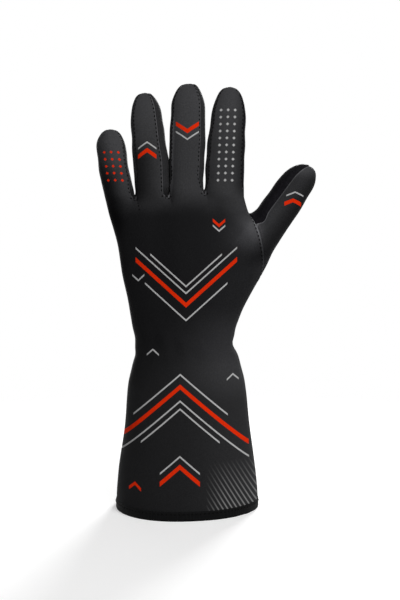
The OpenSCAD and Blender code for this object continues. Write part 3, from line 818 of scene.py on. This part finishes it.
# soften the crotches and the root of the thumb
softSet = {
    "crotchReach": 3.4, "loopReach": 8.5, "thumbCrotchReach": 8.0, "rounds": 14, "pull": 0.6,
    # raised crotches: x, how far, and spread across and along
    "lifts": [(13.3, 4.2, 6, 9), (-14.5, 1.2, 6, 9)],
}
sides = np.concatenate([allQuads[:, [k, (k + 1) % 4]] for k in range(4)])
edges = np.unique(np.sort(sides, axis=1), axis=0)
valence = np.bincount(edges.ravel(), minlength=len(points)).astype(float)
softSpots = []
for k in range(3):
    softSpots += [(p, softSet["crotchReach"]) for p in patches["web%d" % k][::2, webs // 2]]
softSpots += [(p, softSet["loopReach"]) for p in fan[0][::2]]
softSpots.append((fan[0][meshSet["loopRows"]], softSet["thumbCrotchReach"]))
yielding = np.zeros(len(points))
for spot, reach in softSpots:
    away = np.linalg.norm(points - spot, axis=1) / reach
    yielding = np.maximum(yielding, np.exp(-away ** 2))
for face in handFaces:
    yielding[grids[face][0]] = 0
for _ in range(softSet["rounds"]):
    total = np.zeros_like(points)
    np.add.at(total, edges[:, 0], points[edges[:, 1]])
    np.add.at(total, edges[:, 1], points[edges[:, 0]])
    points = points + (total / valence[:, None] - points) * (softSet["pull"] * yielding)[:, None]
for atX, lift, wide, tall in softSet["lifts"]:
    far = ((points[:, 0] - atX) / wide) ** 2 + ((points[:, 2] - fingerShape["rootZ"]) / tall) ** 2
    points[:, 2] += lift * np.exp(-far)
print("glove: shell of", len(points), "points and", len(allQuads), "faces")


# the seams: lines of the grids where panels are sewn together
crotchDrop = 1  # rows of the hand that belong to the webs
topRow = len(heights) - 1


def column(name, col, rows=slice(None)):
    return grids[name][rows, col % grids[name].shape[1]]


seamLines = []
for name in order:
    leftCols = [halfCol] if fingerSet[name]["outer"] == "left" else [leftCol, around - leftCol]
    seamLines += [column(name, c) for c in [rightCol, around - rightCol] + leftCols]
lastCol = grids["handBack"].shape[1] - 1
for face in handFaces:
    seamLines.append(column(face, lastCol))
    for a, b in gapCols:
        low = topRow - crotchDrop
        seamLines.append(np.concatenate([
            column(face, a, slice(topRow, low, -1)), [grids[face][low + 1, a + 1]],
            grids[face][low, a + 1:b], [grids[face][low + 1, b - 1]],
            column(face, b, slice(low + 1, topRow + 1))]))
seamLines.append(column("handBack", 0, slice(0, loopFirst + 1)))
seamLines.append(column("handBack", 0, slice(loopLast, None)))
seamLines.append(np.append(grids["thumb"][0], grids["thumb"][0][0]))
seamLines += [column("thumb", 0), column("thumb", thumbSeamCol)]
palmSeamRow = int(np.argmin(np.abs(heights - handSet["palmSeamZ"])))
seamLines.append(grids["handPalm"][palmSeamRow])

seamSet = {"groove": 0.4, "grooveWidth": 0.6, "lip": 0.34, "lipAt": 1.3, "lipWidth": 0.75, "step": 0.6}
seamSpots = []
for line in seamLines:
    p = points[line]
    for a, b in zip(p[:-1], p[1:]):
        n = max(1, int(np.linalg.norm(b - a) / seamSet["step"]))
        seamSpots += [a + (b - a) * (k / n) for k in range(n)]
    seamSpots.append(p[-1])
seamTree = KDTree(len(seamSpots))
for k, p in enumerate(seamSpots):
    seamTree.insert(Vector(p), k)
seamTree.balance()
seamGap = np.array([seamTree.find(Vector(p))[2] for p in points])


def waves(p, folds):
    total = np.zeros(len(p))
    for way, length, amount, phase in folds:
        total += amount * np.sin((p @ np.array(way)) * (2 * np.pi / length) + phase)
    return total


# soft folds: a direction, a length, an amount and a phase
wristFolds = {
    "middle": 121, "spread": 15,
    "folds": [((1, 0, 0.25), 13, 0.28, 0.4), ((1, 0, -0.5), 19, 0.3, 1.9), ((0.3, 0, 1), 15, 0.25, 0.7)],
}
foldSet = {  # heights between which they come in and go out, and the folds
    "hand": ([(135, 165), (232, 218)], [((1, 0, 0.05), 24, 0.32, 0.9), ((0.9, 0.3, -0.2), 41, 0.4, 2.2)]),
    "sleeve": ([(12, 42), (112, 92)], [((0.7, 0.6, 0.35), 62, 0.55, 0.3), ((0.5, -0.5, 0.8), 47, 0.35, 1.1)]),
    "finger": ([(228, 240)], [((0.2, 0.1, 1), 21, 0.16, 0.5), ((-0.5, 0.3, 0.8), 13, 0.09, 1.7)]),
}
# the palm side: pads of the hand, gathers of the elastic, and creases where it bends
palmSet = {
    # x, z, spread across, spread along, height
    "pads": [(27, 178, 15, 22, 2.6), (-32, 166, 13, 26, 2.0), (-4, 192, 15, 17, -1.8), (29, 221, 8, 8, 0.9),
             (1, 222, 8, 8, 0.9), (-25, 221, 8, 8, 0.9), (-48, 219, 8, 8, 0.9)],
    # x, z, slant, half length, width, depth
    "creases": [(8, 208, 0.32, 30, 1.7, 0.8), (-18, 203, -0.35, 26, 1.7, 0.8), (9, 182, 1.25, 24, 1.8, 0.7),
                (-5, 139, 0.02, 30, 2.0, 0.6)],
    "gather": (8.0, 0.7, 119, 9),  # pitch, height, middle and spread along
    # share of the length, width, depth
    "fingerCreases": [(0.46, 1.5, 0.6), (0.7, 1.4, 0.45), (0.02, 1.8, 0.6)],
    "facing": 0.7,  # how far a point has to face the palm side for the full form
    "paintedPads": 0.3,  # the painted shade on the leather follows its creases more than its pads
}


def palmForm(p, facing, padShare=1.0):
    s = palmSet
    x, z = p[:, 0], p[:, 2]
    total = np.zeros(len(p))
    for atX, atZ, wide, tall, height in s["pads"]:
        total += padShare * height * np.exp(-((x - atX) / wide) ** 2 - ((z - atZ) / tall) ** 2)
    for atX, atZ, slant, half, width, depth in s["creases"]:
        run = math.hypot(1, slant)
        along = ((x - atX) + (z - atZ) * slant) / run
        aside = ((z - atZ) - (x - atX) * slant) / run
        total -= depth * np.exp(-(aside / width) ** 2 - (along / half) ** 4)
    pitch, height, middle, spread = s["gather"]
    total += height * np.sin(x * (2 * np.pi / pitch)) * np.exp(-((z - middle) / spread) ** 2)
    for name in order:
        ids, length = np.unique(grids[name]), fingerSet[name]["length"]
        rise = z[ids] - fingerShape["rootZ"]
        for share, width, depth in s["fingerCreases"]:
            total[ids] -= depth * np.exp(-((rise - share * length) / width) ** 2)
    return total * ease(facing[:, 1] / s["facing"])


normals = pointNormals(points)
leatherForm = palmForm(points, normals, palmSet["paintedPads"])
fromWrist = (points[:, 2] - wristFolds["middle"]) / wristFolds["spread"]
raised = palmForm(points, normals) + waves(points, wristFolds["folds"]) * np.exp(-fromWrist ** 2)
for ramps, folds in foldSet.values():
    shares = [ease((points[:, 2] - start) / (end - start)) for start, end in ramps]
    raised += waves(points, folds) * np.prod(shares, axis=0)
raised += seamSet["lip"] * np.exp(-((seamGap - seamSet["lipAt"]) / seamSet["lipWidth"]) ** 2)
raised -= seamSet["groove"] * np.exp(-(seamGap / seamSet["grooveWidth"]) ** 2)
points = points + normals * raised[:, None]
normals = pointNormals(points)
print("glove: seams drawn in,", len(seamSpots), "seam points")


def flatPlaces(name):
    # distances across and along a patch, for the weave
    p = points[grids[name]]
    if name in closed:
        p = np.concatenate([p, p[:, :1]], 1)
    u = runAlong(p, 1)
    return u - u.mean(1, keepdims=True), runAlong(p).mean(1)


flats = {name: flatPlaces(name) for name in patches}


def addObject(name, verts, faces, finish, weave, cornerNormals=None):
    # the finishes read the place of a point at rest and its place in the weave
    mesh = bpy.data.meshes.new(name)
    mesh.from_pydata((np.asarray(verts) * mm).tolist(), [], [list(map(int, f)) for f in faces])
    mesh.materials.append(finishes[finish])
    mesh.polygons.foreach_set("use_smooth", np.ones(len(mesh.polygons), bool))
    for label, values in (("rest", verts), ("weave", weave)):
        stored = mesh.attributes.new(label, "FLOAT_VECTOR", "POINT")
        stored.data.foreach_set("vector", np.asarray(values, np.float32).ravel())
    mesh.update()
    if cornerNormals is not None:
        mesh.normals_split_custom_set(cornerNormals.tolist())
    made = placed(name, mesh)
    return made


def panel(name, parts, finish, thickness=handSet["cloth"], depth=0.0):
    # parts are names of patches with quads of them
    # the panel lies at a depth under the shell, and gets an inner face and a rim
    quads = np.concatenate([q for _, q in parts])
    ids, local = np.unique(quads, return_inverse=True)
    local = local.reshape(quads.shape)
    weave = np.zeros((len(ids), 3))
    place = {g: k for k, g in enumerate(ids)}
    third = leatherForm if finish == "palmLeather" else seamGap  # the leather's painted shade follows its form, the painted seam highlight follows the seam
    for patch, q in parts:
        u, v = flats[patch]
        used = set(q.ravel().tolist())
        for i, j in np.ndindex(grids[patch].shape):
            g = grids[patch][i, j]
            if g in used:
                weave[place[g]] = (u[i, j], v[i], third[g])
    normal = normals[ids]
    outer = points[ids] - normal * depth
    inner = outer - normal * thickness
    n = len(ids)
    directed = {(a, b) for q in local for a, b in zip(q, np.roll(q, -1))}
    rims = [(b, a, a + n, b + n) for a, b in directed if (b, a) not in directed]
    rims.sort()
    faces = np.concatenate([local, local[:, ::-1] + n, np.array(rims)])
    verts = np.concatenate([outer, inner])
    p = verts[faces]
    flat = unit(np.cross(p[:, 2] - p[:, 0], p[:, 3] - p[:, 1]))
    outward = normal[local].reshape(-1, 3)
    inward = -normal[local[:, ::-1]].reshape(-1, 3)
    corner = np.concatenate([outward, inward, np.repeat(flat[2 * len(local):], 4, axis=0)])
    return addObject(name, verts, faces, finish, np.concatenate([weave, weave]), corner)


# where the parts of the shell would bend; bake_transform, which each of these calls, only bakes the placement
bendSet = {"wrist": (96, 146), "thumbWay": (0.8, 0, 0.6), "thumbBendHalf": 8, "spare": 0.15}


def highest(ids, way):  # how far the points of a line of the shell reach along a direction
    return float((points[ids] @ np.asarray(way, float)).max() + bendSet["spare"])


def bendHand(made):
    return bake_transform(made)


def bendLower(made, finger):
    low = highest(grids[finger][0], (0, 0, 1))
    high = fingerShape["rootZ"] + fingerSet[finger]["knuckle"]
    x = fingerSet[finger]["rootX"] * mm
    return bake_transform(made, "hand", finger + "_lower", (x, 0, low * mm), (x, 0, high * mm))


def bendUpper(made, finger):
    rise, half = fingerSet[finger]["bend"]
    middle = fingerShape["rootZ"] + rise
    low = max(middle - half, highest(grids[finger][cutRow[finger]], (0, 0, 1)))
    x = fingerSet[finger]["rootX"] * mm
    start, end = (x, 0, low * mm), (x, 0, (middle + half) * mm)
    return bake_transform(made, finger + "_lower", finger + "_upper", start, end)


def bendThumbLower(made):
    # the range starts beyond all of the opening and ends short of all of the upper edge
    way = np.array(bendSet["thumbWay"])
    low = highest(grids["thumb"][0], way)
    high = -highest(grids["thumb"][cutRow["thumb"]], -way)
    _, _, start = thumbFrame()
    a, b = (start + way * (at - start @ way) for at in (low, high))
    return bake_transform(made, "hand", "thumb_lower", tuple(a * mm), tuple(b * mm))


def bendThumbUpper(made):
    up, _, start = thumbFrame()
    low = highest(grids["thumb"][cutRow["thumb"]], up) - start @ up
    a, b = (start + up * rise for rise in (low, thumbSet["bend"] + bendSet["thumbBendHalf"]))
    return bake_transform(made, "thumb_lower", "thumb_upper", tuple(a * mm), tuple(b * mm))


def digitParts(name):  # both parts of a finger or the thumb: first and last row, and the function that bakes its placement
    split, last = cutRow[name], len(grids[name]) - 1
    lower, upper = bendThumbLower, bendThumbUpper
    if name != "thumb":
        lower, upper = partial(bendLower, finger=name), partial(bendUpper, finger=name)
    return ("Lower", 0, split, lower), ("Upper", split, last, upper)


def inWeb(i, j):
    # the faces of the hand below a crotch, fewer at both edges, so that they end round
    return any(a <= j < b and i >= topRow - crotchDrop + (j in (a, b - 1)) for a, b in gapCols)


# panels of the hand and cuff
backQuads = quadsOf("handBack", skip=inWeb)
cuffQuads = quadsOf("handPalm", rows=range(palmSeamRow + 1))
palmQuads = quadsOf("handPalm", rows=range(palmSeamRow, topRow + 1), skip=inWeb)
bendHand(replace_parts(
    panel("handBackPanel", [("handBack", backQuads)], "printedHand"), "cuff_back", "wrist_back", "hand_back"))
bendHand(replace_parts(
    panel("cuffPalmPanel", [("handPalm", cuffQuads)], "cuffUnderCloth"), "cuff_palm", "wrist_palm"))
bendHand(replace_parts(panel("handPalmPanel", [("handPalm", palmQuads)], "palmLeather"), "hand_palm"))
webNodes = ["web_index_middle", "web_middle_ring", "web_ring_little"]
for k, (a, b) in enumerate(gapCols):
    parts = [("web%d" % k, quadsOf("web%d" % k))]
    rows, cols = range(topRow - crotchDrop, topRow + 1), range(a, b + 1)
    for face in handFaces:
        parts.append((face, quadsOf(face, rows, cols, skip=lambda i, j: not inWeb(i, j))))
    web = panel("web%s" % webNodes[k][4:].title().replace("_", ""), parts, "fourchetteCloth")
    bendHand(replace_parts(web, webNodes[k]))

# panels of the fingers and the thumb, each between some lines of the grid
arcNames = ["rightBack", "back", "leftBack", "leftPalm", "palm", "rightPalm"]
arcStops = [0, rightCol, leftCol, halfCol, around - leftCol, around - rightCol, around]
arcs = {arc: range(a, b + 1) for arc, a, b in zip(arcNames, arcStops[:-1], arcStops[1:])}
digitFinishes = {"back": "printedFinger", "palm": "palmLeather", "fourchette": "fourchetteCloth"}
digitCols = {"thumb": {"back": [range(thumbSeamCol + 1)], "palm": [range(thumbSeamCol, thumbAround + 1)]}}
for name in order:
    cols = {"back": [arcs["back"]], "palm": [arcs["palm"]], "fourchette": []}
    for edge in ("right", "left"):
        backArc, palmArc = arcs[edge + "Back"], arcs[edge + "Palm"]
        if fingerSet[name]["outer"] == edge:  # on the index finger the palm leather comes round to the back
            cols["palm" if name == "index" else "back"].append(backArc)
            cols["palm"].append(palmArc)
        else:
            cols["fourchette"] += [backArc, palmArc]
    digitCols[name] = cols
for name in digits:
    for part, first, last, bend in digitParts(name):
        for face, cols in digitCols[name].items():
            quads = np.concatenate([quadsOf(name, range(first, last + 1), some) for some in cols])
            made = panel(name + part + face.title(), [(name, quads)], digitFinishes[face])
            plural = "s" if face == "fourchette" and not fingerSet[name]["outer"] else ""
            bend(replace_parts(made, "%s_%s_%s" % (name, part.lower(), face + plural)))
print("glove: panels cut and set")


# linings, a little inside the panels, and the elastic between them at the wrist
liningSet = {"depth": 2.0, "thick": 0.6, "step": 2}
elasticSet = {"depth": 1.4, "thick": 0.5, "heights": (108, 132)}


def lining(name, parts):
    return panel(name, parts, "brushedLining", liningSet["thick"], liningSet["depth"])


def every(first, last):  # every few lines from first to last, both kept
    return [*range(first, last, liningSet["step"]), last]


handCols = every(0, lastCol)
handLines = every(0, loopFirst)[:-1] + every(loopFirst, loopLast)[:-1] + every(loopLast, topRow)
handParts = [(face, quadsOf(face, handLines, handCols)) for face in handFaces]
bendHand(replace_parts(lining("handLining", handParts), "cuff_lining", "hand_lining"))
elasticLow, elasticHigh = (int(np.argmin(np.abs(heights - z))) for z in elasticSet["heights"])
elasticRows = range(elasticLow, elasticHigh + 1)
elasticParts = [(face, quadsOf(face, elasticRows, handCols)) for face in handFaces]
bendHand(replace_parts(
    panel("wristElastic", elasticParts, "wristElastic", elasticSet["thick"], elasticSet["depth"]),
    "wrist_elastic"))
for name in digits:
    for part, first, last, bend in digitParts(name):
        quads = quadsOf(name, every(first, last), every(0, grids[name].shape[1]))
        made = lining(name + part + "Lining", [(name, quads)])
        bend(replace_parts(made, "%s_%s_lining" % (name, part.lower())))
print("glove: linings set")


# the binding folded over the hem: a section of the tape, out and up, carried round the edge
bindingSet = {
    "section": [
        (0.1, 6.5), (0.35, 6.75), (0.62, 6.5), (0.72, 5.6), (0.7, 3.2), (0.72, 1.2), (0.5, 0.35),
        (0.0, 0.0), (-1.6, 0.0), (-3.2, 0.0), (-3.9, 0.35), (-4.15, 1.2), (-4.1, 3.2), (-4.15, 5.6),
        (-4.0, 6.5), (-3.6, 6.75), (-3.15, 6.45), (-3.1, 1.1), (0.05, 1.1),
    ],
    "stitchZ": 5.0,
}


def hemRing(out):
    back, palm = handGrid([0], backRoots, -1, -out)[0], handGrid([0], palmRoots, 1, -out)[0]
    return np.concatenate([back[:-1], palm[:0:-1]])[::2]


def hemBinding():
    section = np.array(bindingSet["section"])
    grid = np.stack([hemRing(out) for out in section[:, 0]])
    grid[:, :, 2] = section[:, 1:]
    rows, cols = grid.shape[:2]
    at = np.arange(rows * cols).reshape(rows, cols)
    down, over = np.roll(at, -1, axis=0), np.roll(at, -1, axis=1)
    both = np.roll(down, -1, axis=1)
    faces = np.stack([at, down, both, over], 2).reshape(-1, 4)
    u = np.cumsum(np.linalg.norm(np.diff(grid, axis=1, append=grid[:, :1]), axis=2), axis=1)
    v = np.broadcast_to(np.arange(rows)[:, None] * 1.0, (rows, cols))
    weave = np.stack([u, v, v * 0], 2).reshape(-1, 3)
    made = addObject("hemBinding", grid.reshape(-1, 3), faces, "bindingTape", weave)
    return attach(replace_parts(made, "hem_binding"), "cuff")


hemBinding()


# stitches: short bowed threads that dive into the cloth at both ends
stitchSet = {
    "pitch": 3.0, "length": 1.8, "width": 0.9, "height": 0.5, "lift": 0.16, "dive": 0.45, "thin": 0.75,
    "sides": 6, "sideStep": 0.3, "rings": 5,
    "beside": 1.5, "reach": 8,  # distance from the seam, and columns within which it lies
    "tipRows": 3, "loopEnds": (4, 1),  # rows left bare at the tips, and at both ends of the thumb's opening
    "tailRows": 7,  # of the seam that runs on into the hand
}


def besideColumn(name, col, step, rows):
    # the line beside a column of a patch, with its normals
    ids = grids[name][rows]
    n = ids.shape[1]
    cols = col + step * np.arange(stitchSet["reach"])
    ids = ids[:, cols % n if name in closed else np.clip(cols, 0, n - 1)]
    far = runAlong(points[ids], 1)

    def across(values):
        rows = zip(far, values)
        return np.array([[np.interp(stitchSet["beside"], run, axis) for axis in row.T] for run, row in rows])

    return across(points[ids]), across(normals[ids])


def stitches(name, runs):
    s = stitchSet
    m, rings = s["sides"], s["rings"]
    verts, faces, weave = [], [], []
    ringAt = np.linspace(-1, 1, rings)
    thin = np.sqrt(1 - ringAt ** 4 * s["thin"])[:, None, None]
    turn = 2 * np.pi * np.arange(m) / m
    wide, tall = np.cos(turn)[:, None] * s["width"] / 2, np.sin(turn)[:, None] * s["height"] / 2
    for place, facing in runs:
        far = runAlong(place)
        total = int(far[-1] // s["pitch"])
        start = (far[-1] - total * s["pitch"]) / 2 + s["pitch"] / 2
        for k in range(total):
            at = np.clip(start + k * s["pitch"] + ringAt * s["length"] / 2, 0, far[-1])
            p, q = (np.stack([np.interp(at, far, axis) for axis in line.T], 1) for line in (place, facing))
            q = unit(q)
            aside = unit(np.cross(unit(p[-1] - p[0]), q))
            p = p + q * (s["lift"] - s["dive"] * ringAt ** 4)[:, None]
            ring = p[:, None] + (aside[:, None] * wide + q[:, None] * tall) * thin
            base = len(verts)
            verts += ring.reshape(-1, 3).tolist()
            weave += [(x, y, 0) for x in at for y in np.arange(m) * s["sideStep"]]
            for low in range(base, base + (rings - 1) * m, m):
                for j in range(m):
                    after = (j + 1) % m
                    faces.append((low + j, low + after, low + m + after, low + m + j))
            faces.append(tuple(range(base, base + m))[::-1])
            faces.append(tuple(range(len(verts) - m, len(verts))))
    return addObject(name, verts, faces, "seamThread", weave)


for name in order:
    lines = [(rightCol, 1), (around - rightCol, -1)]
    if fingerSet[name]["outer"] != "left":
        lines += [(leftCol, -1), (around - leftCol, 1)]
    for part, first, last, bend in digitParts(name):
        bare = stitchSet["tipRows"] if part == "Upper" else 0
        rows = slice(first, last + 1 - bare)
        runs = [besideColumn(name, col, toward, rows) for col, toward in lines]
        bend(stitches(name + part + "Stitches", runs))

handRuns = []
bareLow, bareHigh = stitchSet["loopEnds"]
low = topRow - crotchDrop
for face in handFaces:
    handRuns.append(besideColumn(face, 0, 1, slice(loopFirst + bareLow, loopLast - bareHigh)))
    for a, b in gapCols:  # round the bottom of each crotch
        rows = slice(low, topRow + 1)
        down, downFacing = besideColumn(face, a, -1, rows)
        up, upFacing = besideColumn(face, b, 1, rows)
        middle = grids[face][[low, low - 1], (a + b) // 2]
        fall = points[middle[1]] - points[middle[0]]
        dip = points[middle[:1]] + unit(fall) * stitchSet["beside"]
        facing = np.concatenate([downFacing[::-1], normals[middle[:1]], upFacing])
        handRuns.append((np.concatenate([down[::-1], dip, up]), facing))
tail = column("handBack", gapCols[2][0], slice(low, low - stitchSet["tailRows"], -1))
handRuns.append((points[tail], normals[tail]))  # the seam beside the little finger runs on into the hand
bendHand(stitches("handStitches", handRuns))

hemEdge = hemRing(max(out for out, _ in bindingSet["section"]))
hemEdge[:, 2] = bindingSet["stitchZ"]
hemEdge = np.concatenate([hemEdge, hemEdge[:1]])
hemWay = np.gradient(hemEdge, axis=0)
hemFacing = np.cross(hemWay, [0, 0, 1.0])
hemFacing *= np.sign((hemFacing * hemEdge).sum(1))[:, None]
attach(stitches("hemStitches", [(hemEdge, hemFacing)]), "cuff")
print("glove: stitches sewn")
